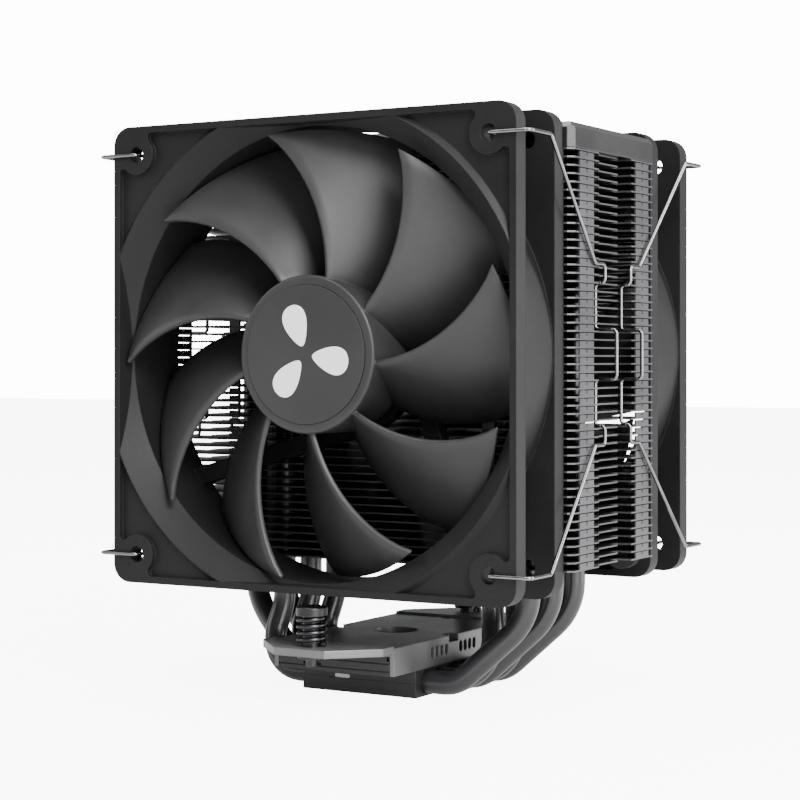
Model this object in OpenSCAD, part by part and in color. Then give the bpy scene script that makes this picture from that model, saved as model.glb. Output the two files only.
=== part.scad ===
/* [Fans] */
// Outer width and height of a fan frame
fan_size = 120; // [80:1:140]
// Depth of a fan frame from front face to rear face
fan_depth = 25; // [20:1:38]
// Height of both fan centres above the contact face
fan_z = 88.4; // [80:0.1:100]
// Spacing of the four fan screw holes
fan_hole_pitch = 105; // [70:0.5:125]
// Diameter of a fan screw hole
fan_hole_d = 4.3; // [3.5:0.1:5]
// Thickness of the two square flanges of a frame
flange_t = 4.75; // [3:0.05:6]
// Corner radius of a frame
fan_corner_r = 5; // [2:0.5:8]
// Wall thickness of the round duct between the flanges
duct_wall = 1.7; // [1:0.1:2]
// Depth of the corner pockets in the flange faces
pocket_depth = 1.5; // [0.5:0.1:2]
// Width of the raised band around the throat
band_w = 7.4; // [3:0.1:9]
// Width of the thin rim outside the corner pockets and the throat lip
rim_w = 1.8; // [0.5:0.1:2]
// Radius of the boss around each fan screw hole
boss_r = 5.2; // [4.5:0.1:7]
// Reach of the raised corner from each screw hole towards the pocket
corner_land = 3.5; // [2.5:0.1:3.6]
// Fillet where the raised corner meets the rim
land_fillet = 1.2; // [0.3:0.1:1.4]

/* [Rotor] */
// Radius of the rotor hub
hub_r = 20; // [15:0.5:24]
// Depth of the hub skirt
hub_h = 16.5; // [12:0.5:18]
// Wall thickness of the hub skirt
hub_wall = 1.4; // [1:0.1:2]
// Number of blades
blade_count = 9; // [5:1:11]
// Turn of a blade from its front edge to its rear edge
blade_turn = 34; // [15:1:40]
// Axial depth of a blade
blade_h = 17; // [10:0.5:18]
// Gap between the blade tips and the duct
tip_gap = 1; // [0.5:0.1:2]
// Radius of the motor shaft
shaft_r = 1.5; // [1:0.1:2.5]

/* [Motor] */
// Width of a strut that carries the motor
strut_w = 4.7; // [3:0.1:7]
// Depth of a strut
strut_t = 4; // [3:0.1:5]
// Radius of the motor base
motor_base_r = 21; // [16:0.5:24]
// Outer radius of the bearing tube
tube_r = 4.2; // [3.5:0.1:6]
// Radius of the outer face of the stator poles
pole_r = 15.5; // [10:0.1:16]

/* [Fin stack] */
// Width of a fin
stack_w = 125; // [100:1:140]
// Depth of a fin
stack_d = 50; // [40:1:70]
// Distance of the stack centre behind the base centre
stack_shift = 5.35; // [0:0.05:10]
// Height of the lowest fin
first_fin_z = 34.8; // [28:0.1:45]
// Number of fins
fin_count = 52; // [30:1:60]
// Distance from fin to fin
fin_pitch = 2.04; // [1.6:0.02:3]
// Thickness of a fin
fin_t = 0.4; // [0.3:0.05:0.6]
// Size of the cut corners of the stack and of the cover
corner_cut = 1.5; // [0.5:0.1:4]
// Gap between the stack and the rear fan, filled by the pads
rear_gap = 3; // [0.5:0.1:6]

/* [Fin edges] */
// Distance of the wire slots from the stack centre
wire_slot_y = 7.8; // [6.5:0.1:12]
// Width of a wire slot
wire_slot_w = 4.1; // [2:0.1:6]
// Depth of a wire slot
wire_slot_depth = 4; // [3:0.1:6]
// Step of the fin edge between the wire slots
land_step = 2; // [0:0.1:3]
// Distance of the folded side tabs from the stack centre
side_tab_y = 16.8; // [14:0.1:20]
// Length of a folded side tab
side_tab_l = 8.1; // [4:0.1:10]
// Seam between a tab and the next fin
tab_seam = 0.22; // [0.04:0.01:0.4]
// Distance of the front tabs from the middle of the stack
front_tab_x = 39; // [20:0.5:55]
// Length of a front tab
front_tab_l = 3.2; // [2:0.1:8]

/* [Cover] */
// Height of the top cover
cover_h = 6.5; // [4:0.1:12]
// Wall thickness of the cover
cover_wall = 1.2; // [0.8:0.1:2]
// Bevel along the top edges of the cover
cover_bevel = 1.5; // [0.5:0.1:3]

/* [Heat pipes] */
// Diameter of a heat pipe
pipe_d = 6; // [4:0.5:6]
// Distance between pipes in the base
pipe_pitch = 6.5; // [6.3:0.1:8]
// Distance of the outer upright legs from the middle
pipe_outer_x = 44.5; // [40:0.5:50]
// Distance of the inner upright legs from the middle
pipe_inner_x = 30.5; // [26:0.5:34]
// Height where the upright legs begin
pipe_knee_z = 21; // [19:0.5:26]
// Height of the pipe tips above the cover
pipe_tip = 4.1; // [2:0.1:8]

/* [Base] */
// Width of the cold plate and of the pipe block
plate_w = 34.6; // [30:0.2:38]
// Depth of the cold plate and of the pipe block
plate_d = 36.9; // [34:0.1:42]
// Thickness of the cold plate, also the height of the pipe axes
plate_t = 3.7; // [3.5:0.1:5]
// Thickness of the pipe block
block_t = 3.5; // [3.3:0.1:5]
// Width of the spreader block
spreader_w = 33.4; // [28:0.2:34]
// Depth of the spreader block
spreader_d = 61.5; // [50:0.5:66]
// Thickness of the spreader block
spreader_t = 5.2; // [4:0.1:8]

/* [Crossbar] */
// Width of the crossbar
bar_w = 36.2; // [35:0.1:42]
// Overall length of the crossbar
bar_l = 93.2; // [88:0.2:100]
// Sheet thickness of the crossbar
bar_t = 2; // [1.5:0.1:2.5]
// Step up of the arms above the centre plate
arm_step = 0.6; // [0:0.1:1.2]
// Spacing of the two mounting screws
screw_spacing = 81.4; // [76:0.1:84]
// Thickness of the side skirts
skirt_t = 1.2; // [0.8:0.1:1.3]
// Diameter of the hole in the centre plate
centre_hole_d = 12.4; // [6:0.2:16]

/* [Screws and springs] */
// Diameter of a screw cap
cap_d = 7.9; // [7:0.1:10]
// Height of a screw cap
cap_h = 2.3; // [1.5:0.1:4]
// Diameter of the screw shank
shank_d = 4.5; // [3:0.1:5]
// Diameter of the threaded end
thread_d = 3; // [2.5:0.1:4]
// Length of the screw end below the crossbar
thread_l = 3.2; // [2.5:0.1:8]
// Length of a spring at rest
spring_l = 7.8; // [6:0.1:12]
// Number of spring turns
spring_turns = 4; // [3:1:7]
// Outer diameter of a spring
spring_d = 7.8; // [6.5:0.1:9]
// Thickness of the spring wire
spring_wire = 1; // [0.6:0.1:1.2]

/* [Wire clips] */
// Diameter of the clip wire
wire_d = 0.95; // [0.8:0.05:1.4]
// Bend radius of the clip wire
wire_bend = 1.2; // [1:0.05:1.3]
// Reach of the grips from the middle of the cooler
grip_x = 66.4; // [65:0.1:70]
// Half length of a grip
grip_half = 6.3; // [5:0.1:9]
// Half height of the catch that sits in the wire slot
catch_half = 18; // [14:0.1:20]
// Length of the level run that brings a wire to its slot
level_run = 5.5; // [2:0.1:7]
// Length of the wire end inside a fan hole
wire_leg = 3.5; // [2.5:0.1:3.6]

/* [Fits] */
// Radial gap between a pipe and the fins or the base grooves
pipe_clear = 0.04; // [0.01:0.01:0.1]
// Radial gap between the shaft and its bearing
shaft_clear = 0.02; // [0.01:0.01:0.05]
// Radial gap between a screw shank and the crossbar
shank_clear = 0.06; // [0.01:0.01:0.1]
// Radial gap around a part that is pushed in and stays put
seat_clear = 0.02; // [0.01:0.01:0.05]

/* [Hidden] */
throat_r = fan_size / 2 - 2.2;
duct_r = throat_r + duct_wall;
lip_w = band_w - pocket_depth;
rim_half = fan_size / 2 - rim_w;
fan_hole = fan_hole_pitch / 2;
stack_front = stack_shift - stack_d / 2;
stack_back = stack_shift + stack_d / 2;
front_y = stack_front - fan_depth;
rear_y = stack_back + rear_gap;
cover_z = first_fin_z + fin_pitch * (fin_count - 1) + fin_t + 0.1;
cover_top = cover_z + cover_h;
pipe_r = pipe_d / 2;
pipe_top = cover_top + pipe_tip;
block_top = plate_t + block_t;
spreader_top = block_top + spreader_t;
arm_top = spreader_top + bar_t + arm_step;
screw_y = screw_spacing / 2;
cap_z = arm_top + spring_l;
ring_t = 0.8;
hub_front = 1;
cup_r = hub_r - hub_wall;
blade_front = 2;
bearing_r = tube_r - 1.2;
board_z = hub_front + hub_h + 0.5;
base_front = board_z + 2.5;
wire_r = wire_d / 2;
wire_slot_floor = stack_w / 2 - wire_slot_depth;
catch_x = wire_slot_floor + 2;
side_x = max(stack_w, fan_size) / 2 + wire_r + 0.2;
step_half = catch_half + 4.8;
turn_x = fan_size / 2 + 4;
bar_lap = 0.1;
bar_neck = 0.03;

// ---- shared shapes ----

function length3(v) = sqrt(v[0] * v[0] + v[1] * v[1] + v[2] * v[2]);
function unit(v) = v / length3(v);
function turn_angle(a, b) = acos(max(-1, min(1, a[0] * b[0] + a[1] * b[1] + a[2] * b[2])));
function cut_back(p, i, r) = i == 0 || i == len(p) - 1 ? 0 :
  r * tan(turn_angle(unit(p[i] - p[i - 1]), unit(p[i + 1] - p[i])) / 2);

module rod(a, b, r) {
  v = b - a;
  l = length3(v);
  translate(a) rotate([0, acos(v[2] / l), atan2(v[1], v[0])]) cylinder(h = l, r = r);
}

module bend(a, corner, b, bend_r, r) {
  d1 = unit(corner - a);
  d2 = unit(b - corner);
  angle = turn_angle(d1, d2);
  start = corner - d1 * bend_r * tan(angle / 2);
  n = unit(cross(d1, d2));
  m = cross(n, d1);
  centre = start + m * bend_r;
  e = -m;
  f = cross(n, e);
  multmatrix([[e[0], f[0], n[0], centre[0]], [e[1], f[1], n[1], centre[1]],
              [e[2], f[2], n[2], centre[2]], [0, 0, 0, 1]])
    rotate_extrude(angle = angle) translate([bend_r, 0]) circle(r = r);
}

function lap_at(p, i) = i == 0 || i == len(p) - 1 ? 0 : bar_lap;

// round bar through the points p, with a bend radius for each inner point
module bent_bar(p, bends, r) {
  for (i = [0 : len(p) - 2]) {
    d = unit(p[i + 1] - p[i]);
    rod(p[i] + d * (cut_back(p, i, bends[i]) - lap_at(p, i)),
        p[i + 1] - d * (cut_back(p, i + 1, bends[i + 1]) - lap_at(p, i + 1)), r);
  }
  for (i = [1 : len(p) - 2]) bend(p[i - 1], p[i], p[i + 1], bends[i], r - bar_neck);
}

// turns the fan axis onto +Y, with the front face at depth 0
module at_fan(y) {
  translate([0, y, fan_z]) rotate([-90, 0, 0]) children();
}

module at_fan_holes() {
  for (x = [-fan_hole, fan_hole], y = [-fan_hole, fan_hole]) translate([x, y]) children();
}

module rounded_square(s, r) {
  square([s, s - 2 * r], center = true);
  square([s - 2 * r, s], center = true);
  for (x = [-1, 1], y = [-1, 1]) translate([x * (s / 2 - r), y * (s / 2 - r)]) circle(r = r);
}

// ---- fan frame ----

module flange() {
  linear_extrude(flange_t) difference() {
    rounded_square(fan_size, fan_corner_r);
    circle(r = throat_r);
    at_fan_holes() circle(d = fan_hole_d);
  }
}

// fills the gap that a fillet leaves in the corner of two edges
module fillet_fill(r) {
  difference() {
    translate([-r, -r]) square(r + 0.01);
    translate([-r, -r]) circle(r = r);
  }
}

// screw boss with the raised land that runs from it out to the corner
module boss_land() {
  rim_reach = rim_half - fan_hole;
  circle(r = boss_r);
  translate([-corner_land, -corner_land]) square(corner_land + rim_reach + 1);
  translate([rim_reach, -corner_land]) fillet_fill(land_fillet);
  translate([-corner_land, rim_reach]) fillet_fill(land_fillet);
}

// the band's outer side is a 45 degree slope down to the pocket floor
module corner_pockets() {
  crest_r = throat_r + lip_w;
  difference() {
    translate([0, 0, -1]) linear_extrude(pocket_depth + 1) difference() {
      square(2 * rim_half, center = true);
      for (a = [0 : 90 : 270]) rotate(a) translate([fan_hole, fan_hole]) boss_land();
    }
    translate([0, 0, -1]) cylinder(h = pocket_depth + 1.5, r1 = crest_r - 1, r2 = crest_r + pocket_depth + 0.5);
  }
}

// 45 degree mouth of the throat, held back from the frame's sides by the rim
module throat_lip() {
  intersection() {
    translate([0, 0, -1]) cylinder(h = lip_w + 1, r1 = throat_r + lip_w + 1, r2 = throat_r);
    translate([-rim_half, -rim_half, -2]) cube([2 * rim_half, 2 * rim_half, lip_w + 3]);
  }
}

module motor_mount() {
  strut_end = throat_r + duct_wall / 2;
  strut_x = motor_base_r - 1.4;
  strut_l = 1 + sqrt(strut_end * strut_end - strut_x * strut_x);
  translate([0, 0, fan_depth - 0.5 - strut_t]) difference() {
    union() {
      cylinder(h = strut_t, r = motor_base_r);
      intersection() {
        cylinder(h = strut_t, r = strut_end);
        for (a = [0 : 90 : 270]) rotate([0, 0, a]) translate([strut_x, 0, 0])
          rotate([0, 0, -15.6]) translate([-strut_w / 2, 0, 0]) cube([strut_w, strut_l, strut_t]);
      }
    }
    translate([0, 0, strut_t - 0.5]) cylinder(h = 1, r = motor_base_r - 2.8);
  }
  difference() {
    translate([0, 0, 5]) cylinder(h = base_front - 4, r = tube_r);
    translate([0, 0, 4]) cylinder(h = base_front - 4, r = bearing_r + seat_clear);
  }
}

module fan_frame() {
  difference() {
    union() {
      flange();
      translate([0, 0, fan_depth - flange_t]) flange();
      translate([0, 0, flange_t - 0.5]) difference() {
        cylinder(h = fan_depth - 2 * flange_t + 1, r = duct_r);
        translate([0, 0, -1]) cylinder(h = fan_depth, r = throat_r);
      }
    }
    throat_lip();
    corner_pockets();
    translate([0, 0, fan_depth]) mirror([0, 0, 1]) corner_pockets();
  }
  motor_mount();
}

// ---- fan motor ----

module bearing_sleeve() {
  translate([0, 0, 6]) difference() {
    cylinder(h = 12, r = bearing_r);
    translate([0, 0, -1]) cylinder(h = 14, r = shaft_r + shaft_clear);
    for (z = [0, 12]) translate([0, 0, z])
      rotate([z == 0 ? 0 : 180, 0, 0]) translate([0, 0, -0.01])
        cylinder(h = 0.5, r1 = shaft_r + 0.5, r2 = shaft_r + shaft_clear);
  }
}

module stator_core() {
  translate([0, 0, 6]) linear_extrude(8) difference() {
    union() {
      circle(r = tube_r + 2.4);
      for (a = [0, 90]) rotate(a) square([2 * pole_r - 3, 4], center = true);
      intersection() {
        circle(r = pole_r);
        union() {
          for (a = [0 : 90 : 270]) rotate(a) translate([pole_r - 2.2, -7]) square([3, 14]);
        }
      }
    }
    circle(r = tube_r + seat_clear);
  }
}

module coil_set() {
  for (a = [0 : 90 : 270]) rotate([0, 0, a]) translate([tube_r + 3, 0, 5]) difference() {
    translate([0, -3.4, 0]) cube([pole_r - tube_r - 5.6, 6.8, 10]);
    translate([-1, -2 - seat_clear, 1 - seat_clear]) cube([pole_r, 4 + 2 * seat_clear, 8 + 2 * seat_clear]);
  }
}

module circuit_board() {
  translate([0, 0, board_z]) difference() {
    cylinder(h = 1.2, r = 16);
    translate([0, 0, -1]) cylinder(h = 4, r = tube_r + 0.3);
    translate([13, -4, -1]) cube([5, 8, 4]);
  }
}

module rating_plate() {
  translate([0, 0, fan_depth - 1]) cylinder(h = 0.15, r = motor_base_r - 3);
}

module magnet_ring() {
  translate([0, 0, 4]) difference() {
    cylinder(h = 12, r = cup_r - seat_clear);
    translate([0, 0, -1]) cylinder(h = 14, r = pole_r + 0.7);
  }
}

module motor_shaft() {
  translate([0, 0, hub_front + hub_wall]) cylinder(h = 15.9, r = shaft_r);
  translate([0, 0, hub_front + hub_wall + 15.9]) cylinder(h = 0.4, r1 = shaft_r, r2 = shaft_r - 0.4);
}

module hub_badge() {
  translate([0, 0, hub_front - 0.2]) difference() {
    cylinder(h = 0.2, r = hub_r - 2.5);
    for (a = [0 : 120 : 240]) rotate([0, 0, a]) translate([9, 0, -1]) cylinder(h = 2, r = 1.2);
  }
}

// ---- rotor ----

// swept centre line of a blade, as an angle at each radius
function sweep(r) = 28 * pow((throat_r - tip_gap - r) / (throat_r - tip_gap - hub_r), 0.9);
function half_width(r) = 0.72 * sqrt(1 + pow(r * blade_turn * PI / 180 / blade_h, 2)) / r * 180 / PI;
function blade_radius(i) = hub_r - 0.6 + (throat_r - tip_gap - hub_r + 0.6) * i / 6;
function blade_point(i, side) =
  let (r = blade_radius(i), a = sweep(min(r, throat_r - tip_gap)) + side * half_width(r))
  [r * cos(a), r * sin(a)];

module blade() {
  translate([0, 0, blade_front]) linear_extrude(height = blade_h, twist = -blade_turn, slices = 7)
    polygon(concat([for (i = [0 : 6]) blade_point(i, -1)], [for (i = [6 : -1 : 0]) blade_point(i, 1)]));
}

module rotor() {
  difference() {
    union() {
      translate([0, 0, hub_front]) cylinder(h = 0.8, r1 = hub_r - 0.8, r2 = hub_r);
      translate([0, 0, hub_front + 0.8]) cylinder(h = hub_h - 0.8, r = hub_r);
    }
    translate([0, 0, hub_front + hub_wall]) cylinder(h = hub_h, r = cup_r);
  }
  translate([0, 0, hub_front + hub_wall - 0.2]) difference() {
    cylinder(h = 2, r = tube_r - 0.4);
    translate([0, 0, 0.2]) cylinder(h = 3, r = shaft_r + seat_clear);
  }
  for (k = [0 : blade_count - 1]) rotate([0, 0, -22.4 - k * 360 / blade_count]) blade();
}

// ---- fin stack ----

module stack_plan(inset) {
  x = stack_w / 2 - inset;
  y = stack_d / 2 - inset;
  c = corner_cut;
  polygon([[x - c, -y], [x, -y + c], [x, y - c], [x - c, y], [-x + c, y], [-x, y - c], [-x, -y + c], [-x + c, -y]]);
}

module at_pipe_legs() {
  for (k = [-2 : 2], s = [-1, 1]) {
    x = (k % 2 == 0) == (s > 0) ? pipe_outer_x : pipe_inner_x;
    translate([s * x, k * pipe_pitch]) children();
  }
}

module fin_plan() {
  difference() {
    stack_plan(0);
    for (s = [-1, 1]) {
      for (t = [-1, 1]) translate([s * stack_w / 2, t * wire_slot_y])
        square([2 * wire_slot_depth, wire_slot_w], center = true);
      translate([s * stack_w / 2, 0]) square([2 * land_step, 2 * wire_slot_y], center = true);
    }
    at_pipe_legs() circle(r = pipe_r + pipe_clear);
  }
}

module fin_tabs() {
  tab_h = fin_pitch - tab_seam;
  for (s = [-1, 1], t = [-1, 1]) {
    translate([s * (stack_w / 2 - fin_t / 2) - fin_t / 2, t * side_tab_y - side_tab_l / 2, 0]) difference() {
      cube([fin_t, side_tab_l, tab_h]);
      translate([-1, side_tab_l / 2 - 0.25, tab_h - 0.8]) cube([3, 0.5, 2]);
    }
    translate([s * front_tab_x - front_tab_l / 2, t * (stack_d / 2 - fin_t / 2) - fin_t / 2, 0])
      cube([front_tab_l, fin_t, tab_h]);
  }
}

module top_cover() {
  b = cover_bevel;
  x = stack_w / 2;
  y = stack_d / 2;
  color([0.05, 0.05, 0.06]) translate([0, stack_shift, cover_z]) difference() {
    linear_extrude(cover_h) stack_plan(0);
    for (s = [-1, 1]) {
      translate([s * x, 0, cover_h]) rotate([0, 45, 0])
        cube([b * sqrt(2), stack_d + 4, b * sqrt(2)], center = true);
      translate([0, s * y, cover_h]) rotate([45, 0, 0])
        cube([stack_w + 4, b * sqrt(2), b * sqrt(2)], center = true);
    }
    translate([0, 0, -1]) linear_extrude(cover_h - cover_wall + 1) stack_plan(cover_wall + 0.6);
    translate([0, 0, -1]) linear_extrude(cover_h + 2) at_pipe_legs() circle(r = pipe_r + 0.4);
  }
}

module fins() {
  color([0.08, 0.08, 0.09]) for (k = [0 : fin_count - 1])
    translate([0, stack_shift, first_fin_z + fin_pitch * k]) {
      linear_extrude(fin_t) fin_plan();
      if (k < fin_count - 1) fin_tabs();
    }
}

module rear_pads() {
  color([0.1, 0.1, 0.1]) at_fan(stack_back) translate([0, 0, 0.02]) linear_extrude(rear_gap - 0.04)
    at_fan_holes() difference() {
      circle(r = boss_r - 0.1);
      circle(r = fan_hole_d / 2 + 0.2);
    }
}

// ---- heat pipes ----

// k counts pipes from the middle, one leg inner and the other outer
module heat_pipe(k) {
  even = k % 2 == 0;
  y0 = k * pipe_pitch;
  y1 = y0 + stack_shift;
  z0 = plate_t;
  z1 = pipe_top - 3.4;
  r = pipe_r;
  s = even ? 1 : -1;
  outer = s * pipe_outer_x;
  inner = -s * pipe_inner_x;
  color([0.1, 0.1, 0.11]) {
    bent_bar([[outer, y1, z1], [outer, y1, pipe_knee_z], [outer - s * 18.1, y0, z0],
              [inner - s * 3, y0, z0], [inner, y1, pipe_knee_z], [inner, y1, z1]], [0, 16, 8, 10, 16, 0], r);
    for (x = [outer, inner]) translate([x, y1, z1 - 0.2]) {
      cylinder(h = 2.4, r1 = r * 0.98, r2 = r * 0.52);
      translate([0, 0, 2.3]) cylinder(h = 0.8, r = r * 0.5);
      translate([0, 0, 3]) cylinder(h = 0.6, r1 = r * 0.48, r2 = r * 0.34);
    }
  }
}

// ---- base ----

module pipe_grooves() {
  for (k = [-2 : 2]) translate([0, k * pipe_pitch, plate_t]) rotate([0, 90, 0])
    cylinder(h = plate_w + 4, r = pipe_r + pipe_clear, center = true);
}

module key_slot(h) {
  translate([-5.05, -plate_d / 2, plate_t + 0.5]) rotate([-90, 0, 0]) linear_extrude(h) {
    square([3.6, 1.1], center = true);
    for (s = [-1, 1]) translate([s * 1.8, 0]) circle(r = 0.55);
  }
}

module cold_plate() {
  color([0.5, 0.32, 0.25]) difference() {
    translate([-plate_w / 2, -plate_d / 2, 0]) cube([plate_w, plate_d, plate_t]);
    pipe_grooves();
    translate([0, -0.1, 0]) key_slot(1.6);
  }
}

module pipe_block() {
  color([0.12, 0.12, 0.13]) difference() {
    translate([-plate_w / 2, -plate_d / 2, plate_t]) cube([plate_w, plate_d, block_t]);
    pipe_grooves();
    translate([0, -0.1, 0]) key_slot(1.6);
  }
}

module lock_keys() {
  color([0.75, 0.75, 0.76]) translate([0, 0.02, 0]) key_slot(1.4);
}

module pin_holes(d) {
  for (s = [-1, 1]) translate([0, s * (spreader_d / 2 - 3.15), block_top + 1.2]) cylinder(h = 12, d = d);
}

module spreader() {
  color([0.16, 0.16, 0.17]) difference() {
    translate([-spreader_w / 2, -spreader_d / 2, block_top])
      cube([spreader_w, spreader_d, spreader_t]);
    for (z = [1.2, 3.2]) for (s = [-1, 1])
      translate([-spreader_w / 2 - 1, s * spreader_d / 2 - 0.3, block_top + z - 0.12])
        cube([spreader_w + 2, 0.6, 0.24]);
    translate([-9.25, -spreader_d / 2 - 1, block_top + 1.5]) cube([5.55, 2, 1.1]);
    for (s = [-1, 1]) translate([s * spreader_w / 2 - 0.8, -spreader_d / 2 - 0.8, block_top + 3.9])
      cube([1.6, 1.6, 2]);
    pin_holes(2.2);
    translate([0, 0, block_top + spreader_t - 2]) cylinder(h = 4, d = centre_hole_d - 4);
  }
}

module bridge_pins() {
  color([0.6, 0.6, 0.62]) for (s = [-1, 1]) translate([0, s * (spreader_d / 2 - 3.15), block_top + 1.3]) {
    cylinder(h = spreader_t + bar_t - 1.9, d = 2.2 - 2 * seat_clear);
    translate([0, 0, spreader_t + bar_t - 1.9]) cylinder(h = 0.4, d1 = 2.16, d2 = 1.4);
  }
}

// ---- crossbar ----

module bar_plan() {
  x = bar_w / 2;
  y = bar_l / 2;
  polygon([[-x, -y + 10.6], [-7.5, -y], [7.5, -y], [x, -y + 10.6], [x, y - 10.6], [7.5, y], [-7.5, y],
           [-x, y - 10.6]]);
}

module skirt_slots() {
  for (g = [-1, 1], i = [-1.5 : 1.5]) translate([0, g * 7.5 + i * 2.45, block_top + 3.75]) {
    cube([bar_w + 2, 1.7, 1.2], center = true);
    for (t = [-1, 1]) translate([0, 0, t * 0.6]) rotate([0, 90, 0])
      cylinder(h = bar_w + 2, r = 0.85, center = true);
  }
}

module crossbar() {
  mid = spreader_d / 2;
  color([0.07, 0.07, 0.08]) difference() {
    union() {
      for (s = [-1, 1]) intersection() {
        translate([0, 0, arm_top - bar_t]) linear_extrude(bar_t) bar_plan();
        translate([-bar_w, s > 0 ? mid : -bar_l, spreader_top]) cube([2 * bar_w, bar_l - mid, 4]);
      }
      translate([-bar_w / 2, -mid - 0.8, spreader_top]) cube([bar_w, 2 * mid + 1.6, bar_t]);
      for (s = [-1, 1]) translate([s * (bar_w / 2 - skirt_t / 2) - skirt_t / 2, -mid, block_top + 0.1])
        cube([skirt_t, 2 * mid, spreader_t + 1]);
    }
    for (s = [-1, 1]) {
      translate([0, s * screw_y, spreader_top - 1]) cylinder(h = 6, r = shank_d / 2 + shank_clear);
      translate([0, s * (mid - 3.15), spreader_top - 1]) cylinder(h = 6, d = 2.4);
      translate([s * bar_w / 2, 0, spreader_top + 3.2]) cube([6, 5, 6], center = true);
    }
    translate([0, 0, spreader_top - 1]) cylinder(h = 6, d = centre_hole_d);
    skirt_slots();
  }
}

// ---- mounting screws ----

module screw(y) {
  color([0.62, 0.62, 0.64]) translate([0, y, 0]) difference() {
    union() {
      translate([0, 0, cap_z]) cylinder(h = cap_h - 0.3, d = cap_d);
      translate([0, 0, cap_z + cap_h - 0.3]) cylinder(h = 0.3, d1 = cap_d, d2 = cap_d - 0.6);
      translate([0, 0, arm_top - bar_t - 1.3]) cylinder(h = spring_l + bar_t + 1.31, d = shank_d);
      translate([0, 0, arm_top - bar_t - thread_l + 0.4]) cylinder(h = thread_l - 1.2, d = thread_d);
      translate([0, 0, arm_top - bar_t - thread_l]) cylinder(h = 0.4, d1 = thread_d - 0.8, d2 = thread_d);
    }
    translate([-2.6, -0.4, cap_z + cap_h - 0.9]) cube([5.2, 0.8, 2]);
    translate([-0.4, -2.6, cap_z + cap_h - 0.9]) cube([0.8, 5.2, 2]);
    translate([0, 0, arm_top - bar_t - 0.1 - ring_t]) difference() {
      cylinder(h = ring_t, d = shank_d + 2);
      translate([0, 0, -1]) cylinder(h = ring_t + 2, d = shank_d - 1);
    }
  }
}

module retainer_ring(y) {
  color([0.5, 0.5, 0.52]) translate([0, y, arm_top - bar_t - 0.1 - ring_t + 0.02])
    linear_extrude(ring_t - 0.04) difference() {
      circle(d = shank_d + 2.7);
      circle(d = shank_d - 1 + 2 * seat_clear);
      translate([0, 3]) square([2.2, 6], center = true);
    }
}

// flat-ended coil, cut as a turning arc so that its rise gives the wire height
module coil_spring(y) {
  arc = 360 * spring_wire * spring_turns / spring_l;
  r2 = spring_d / 2;
  r1 = r2 - spring_wire;
  n = 6;
  color([0.7, 0.7, 0.72]) translate([0, y, arm_top + 0.02])
    linear_extrude(height = spring_l - 0.04, twist = -360 * (spring_turns - 0.5), slices = 14 * spring_turns)
      polygon(concat([for (i = [0 : n]) [r2 * cos(arc * i / n), r2 * sin(arc * i / n)]],
                     [for (i = [n : -1 : 0]) [r1 * cos(arc * i / n), r1 * sin(arc * i / n)]]));
}

// ---- wire clips ----

// s is the side, y_face the fan face the ends enter, y_slot the wire slot, d the way into the fan
module wire_clip(s, y_face, y_slot, d) {
  y0 = y_face - d * (wire_r + 0.12);
  top = [[fan_hole, y0 + d * wire_leg, fan_hole], [fan_hole, y0, fan_hole], [turn_x, y0, fan_hole],
         [turn_x, y0 + d * 10.8, fan_hole], [side_x, y_slot - d * level_run, step_half],
         [side_x, y_slot, step_half], [side_x, y_slot, catch_half],
         [catch_x, y_slot, catch_half], [catch_x, y_slot, grip_half], [grip_x, y_slot, grip_half]];
  n = len(top);
  path = [for (i = [0 : 2 * n - 1])
    let (p = i < n ? top[i] : top[2 * n - 1 - i], z = i < n ? p[2] : -p[2]) [s * p[0], p[1], fan_z + z]];
  bends = [for (i = [0 : 2 * n - 1]) wire_bend];
  color([0.7, 0.7, 0.72]) bent_bar(path, bends, wire_r);
}

front_slot_y = stack_shift - wire_slot_y;
rear_slot_y = stack_shift + wire_slot_y;
fan_rear_y = rear_y + fan_depth;

cold_plate();
pipe_block();
spreader();
lock_keys();
crossbar();
bridge_pins();
heat_pipe(-2);  // pipe_1
heat_pipe(-1);  // pipe_2
heat_pipe(0);  // pipe_3
heat_pipe(1);  // pipe_4
heat_pipe(2);  // pipe_5
fins();
top_cover();
rear_pads();
color([0.07, 0.07, 0.08]) at_fan(front_y) fan_frame();  // front_frame
color([0.7, 0.55, 0.3]) at_fan(front_y) bearing_sleeve();  // front_bearing
color([0.5, 0.5, 0.52]) at_fan(front_y) stator_core();  // front_stator
color([0.7, 0.4, 0.2]) at_fan(front_y) coil_set();  // front_windings
color([0.1, 0.35, 0.2]) at_fan(front_y) circuit_board();  // front_board
color([0.3, 0.3, 0.3]) at_fan(front_y) rating_plate();  // front_rating
color([0.06, 0.06, 0.07]) at_fan(front_y) rotor();  // front_rotor
color([0.25, 0.25, 0.26]) at_fan(front_y) hub_badge();  // front_badge
color([0.3, 0.3, 0.3]) at_fan(front_y) magnet_ring();  // front_magnet
color([0.7, 0.7, 0.72]) at_fan(front_y) motor_shaft();  // front_shaft
color([0.07, 0.07, 0.08]) at_fan(rear_y) fan_frame();  // rear_frame
color([0.7, 0.55, 0.3]) at_fan(rear_y) bearing_sleeve();  // rear_bearing
color([0.5, 0.5, 0.52]) at_fan(rear_y) stator_core();  // rear_stator
color([0.7, 0.4, 0.2]) at_fan(rear_y) coil_set();  // rear_windings
color([0.1, 0.35, 0.2]) at_fan(rear_y) circuit_board();  // rear_board
color([0.3, 0.3, 0.3]) at_fan(rear_y) rating_plate();  // rear_rating
color([0.06, 0.06, 0.07]) at_fan(rear_y) rotor();  // rear_rotor
color([0.25, 0.25, 0.26]) at_fan(rear_y) hub_badge();  // rear_badge
color([0.3, 0.3, 0.3]) at_fan(rear_y) magnet_ring();  // rear_magnet
color([0.7, 0.7, 0.72]) at_fan(rear_y) motor_shaft();  // rear_shaft
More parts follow.
